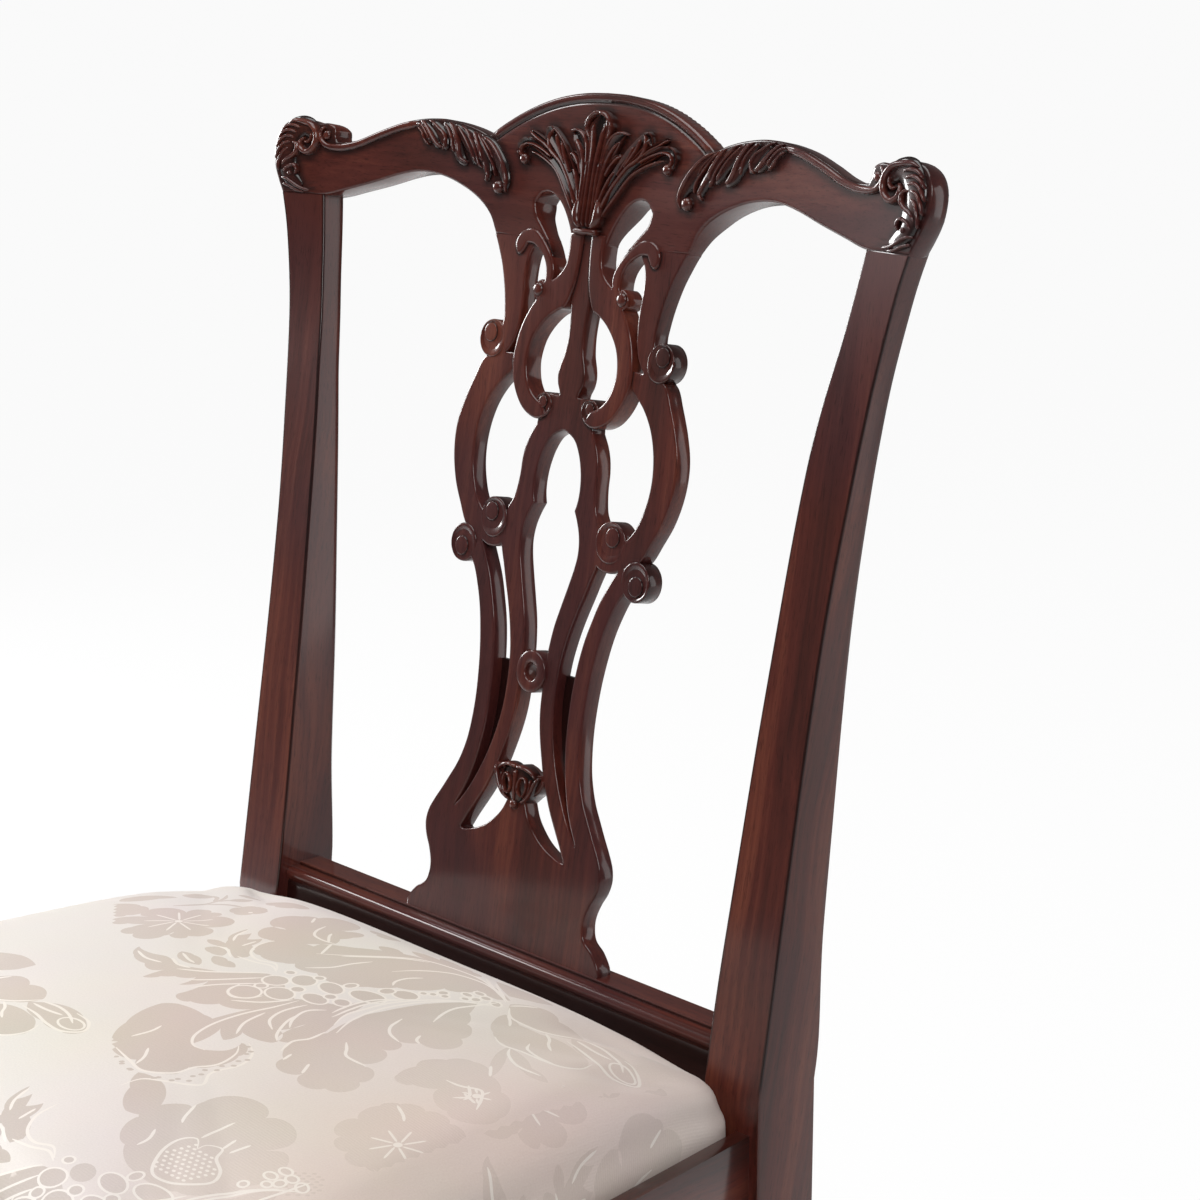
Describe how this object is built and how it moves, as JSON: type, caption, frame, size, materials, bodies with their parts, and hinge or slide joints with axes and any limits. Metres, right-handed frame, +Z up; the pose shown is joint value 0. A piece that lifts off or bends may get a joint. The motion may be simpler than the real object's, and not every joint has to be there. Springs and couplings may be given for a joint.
{
  "type": "side chair",
  "caption": "Side chair with a pierced carved splat, a shaped crest rail, cabriole front legs and an upholstered drop-in seat.",
  "frame": {"origin": "on the floor, under the centre of the chair's bounding box", "axes": "+Z up, -Y the way the sitter faces, +X to the left hand of the sitter"},
  "size_m": [0.629, 0.5715, 1],
  "materials": {
    "mahogany": "satin lacquer",
    "beech": "unfinished",
    "peg_wood": "satin lacquer",
    "steel": "plain",
    "webbing": "woven jute",
    "hessian": "open weave",
    "wadding": "soft",
    "damask": "satin damask weave",
    "dust_cloth": "matt"
  },
  "bodies": {
    "chair": {"rear_post_left": "mahogany", "rear_post_right": "mahogany", "crest_rail": "mahogany", "crest_dowels": "beech", "splat": "mahogany", "shoe": "mahogany", "shoe_screws": "steel", "rear_rail": "mahogany", "seat_ledger": "beech", "ledger_screws": "steel", "side_rail_left": "mahogany", "side_rail_right": "mahogany", "front_rail": "mahogany", "front_leg_left": "mahogany", "front_leg_right": "mahogany", "knee_bracket_front_left": "mahogany", "knee_bracket_front_right": "mahogany", "knee_bracket_side_left": "mahogany", "knee_bracket_side_right": "mahogany", "corner_block_front_left": "beech", "corner_block_front_right": "beech", "corner_block_rear_left": "beech", "corner_block_rear_right": "beech", "block_screws": "steel", "rail_pegs": "peg_wood", "floor_glides": "steel"},
    "drop_in_seat": {"seat_frame_front": "beech", "seat_frame_back": "beech", "seat_frame_left": "beech", "seat_frame_right": "beech", "seat_frame_dowels": "beech", "seat_webbing": "webbing", "seat_hessian": "hessian", "seat_pad": "wadding", "seat_cover": "damask", "dust_cover": "dust_cloth", "dust_cover_tacks": "steel"}
  },
  "joints": [
    {"name": "seat_lift", "type": "slide", "parent": "chair", "child": "drop_in_seat", "axis": [0, 0, 1], "range_m": [0, 0.08]}
  ]
}
